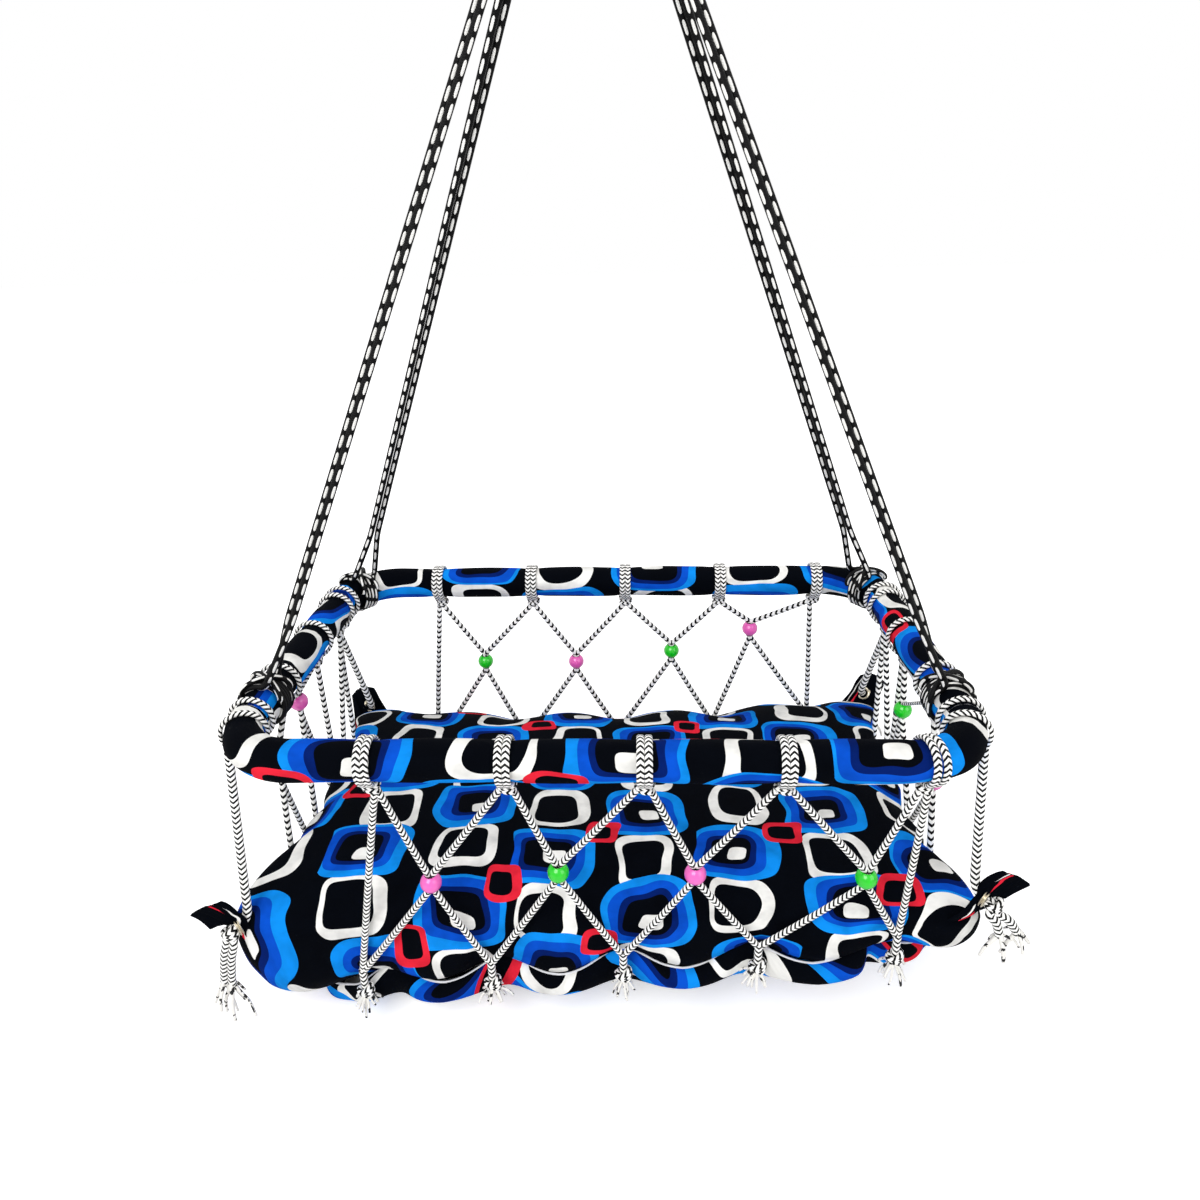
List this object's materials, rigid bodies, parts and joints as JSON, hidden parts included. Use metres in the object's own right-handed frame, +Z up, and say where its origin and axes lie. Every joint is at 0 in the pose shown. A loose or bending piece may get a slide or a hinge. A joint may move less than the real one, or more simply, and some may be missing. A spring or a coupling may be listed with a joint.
{
  "type": "hanging baby cradle",
  "caption": "Hanging cradle: a padded rounded-rectangular ring with knotted cord net sides and a cushion bed, hung by doubled ropes from a ring and S-hook.",
  "frame": {"origin": "inside top of the S-hook's upper bend, where a ceiling hook carries the cradle", "axes": "+X along the cradle to the right, +Y to its back, +Z up"},
  "size_m": [0.7322, 0.4808, 1.3104],
  "materials": {
    "plated_steel": "plated",
    "frame_pipe": "mill finish",
    "black_rope": "braided, white flecks",
    "foam": "open-cell foam",
    "printed_cloth": "printed cotton",
    "printed_cushion": "printed cotton, quilted",
    "white_braid": "braided, dark flecks",
    "pink_bead": "moulded gloss",
    "green_bead": "moulded gloss",
    "eyelet_metal": "nickel plated"
  },
  "bodies": {
    "hook": {"s_hook": "plated_steel"},
    "swing_ring": {"steel_ring": "plated_steel"},
    "cradle": {"rope_head": "black_rope", "whipping": "black_rope", "strand_front_right_1": "black_rope", "strand_front_right_2": "black_rope", "strand_back_right_1": "black_rope", "strand_back_right_2": "black_rope", "strand_back_left_1": "black_rope", "strand_back_left_2": "black_rope", "strand_front_left_1": "black_rope", "strand_front_left_2": "black_rope", "lashing_front_right": "black_rope", "lashing_back_right": "black_rope", "lashing_back_left": "black_rope", "lashing_front_left": "black_rope", "pipe_right": "frame_pipe", "pipe_left": "frame_pipe", "joiner_front": "frame_pipe", "joiner_back": "frame_pipe", "foam_front": "foam", "foam_right": "foam", "foam_back": "foam", "foam_left": "foam", "cloth_front": "printed_cloth", "cloth_right": "printed_cloth", "cloth_back": "printed_cloth", "cloth_left": "printed_cloth", "net_front": "white_braid", "net_back": "white_braid", "net_right": "white_braid", "net_left": "white_braid", "bead_front_1": "pink_bead", "bead_front_2": "green_bead", "bead_front_3": "pink_bead", "bead_front_4": "green_bead", "bead_back_1": "green_bead", "bead_back_2": "pink_bead", "bead_back_3": "green_bead", "bead_back_4": "pink_bead", "bead_right_1": "green_bead", "bead_right_2": "pink_bead", "bead_left_1": "pink_bead", "bead_left_2": "green_bead", "corner_cord_front_left": "white_braid", "corner_cord_front_right": "white_braid", "corner_cord_back_right": "white_braid", "corner_cord_back_left": "white_braid", "eyelet_front_left": "eyelet_metal", "eyelet_front_right": "eyelet_metal", "eyelet_back_right": "eyelet_metal", "eyelet_back_left": "eyelet_metal", "base_sheet": "printed_cloth", "cushion": "printed_cushion"}
  },
  "joints": [
    {"name": "rock", "type": "hinge", "parent": "hook", "child": "swing_ring", "pos_m": [0, 0, -0.1165], "axis": [1, 0, 0], "range_deg": [-30, 30]},
    {"name": "sway", "type": "hinge", "parent": "swing_ring", "child": "cradle", "pos_m": [0, 0, -0.1555], "axis": [0, 1, 0], "range_deg": [-15, 15]}
  ]
}
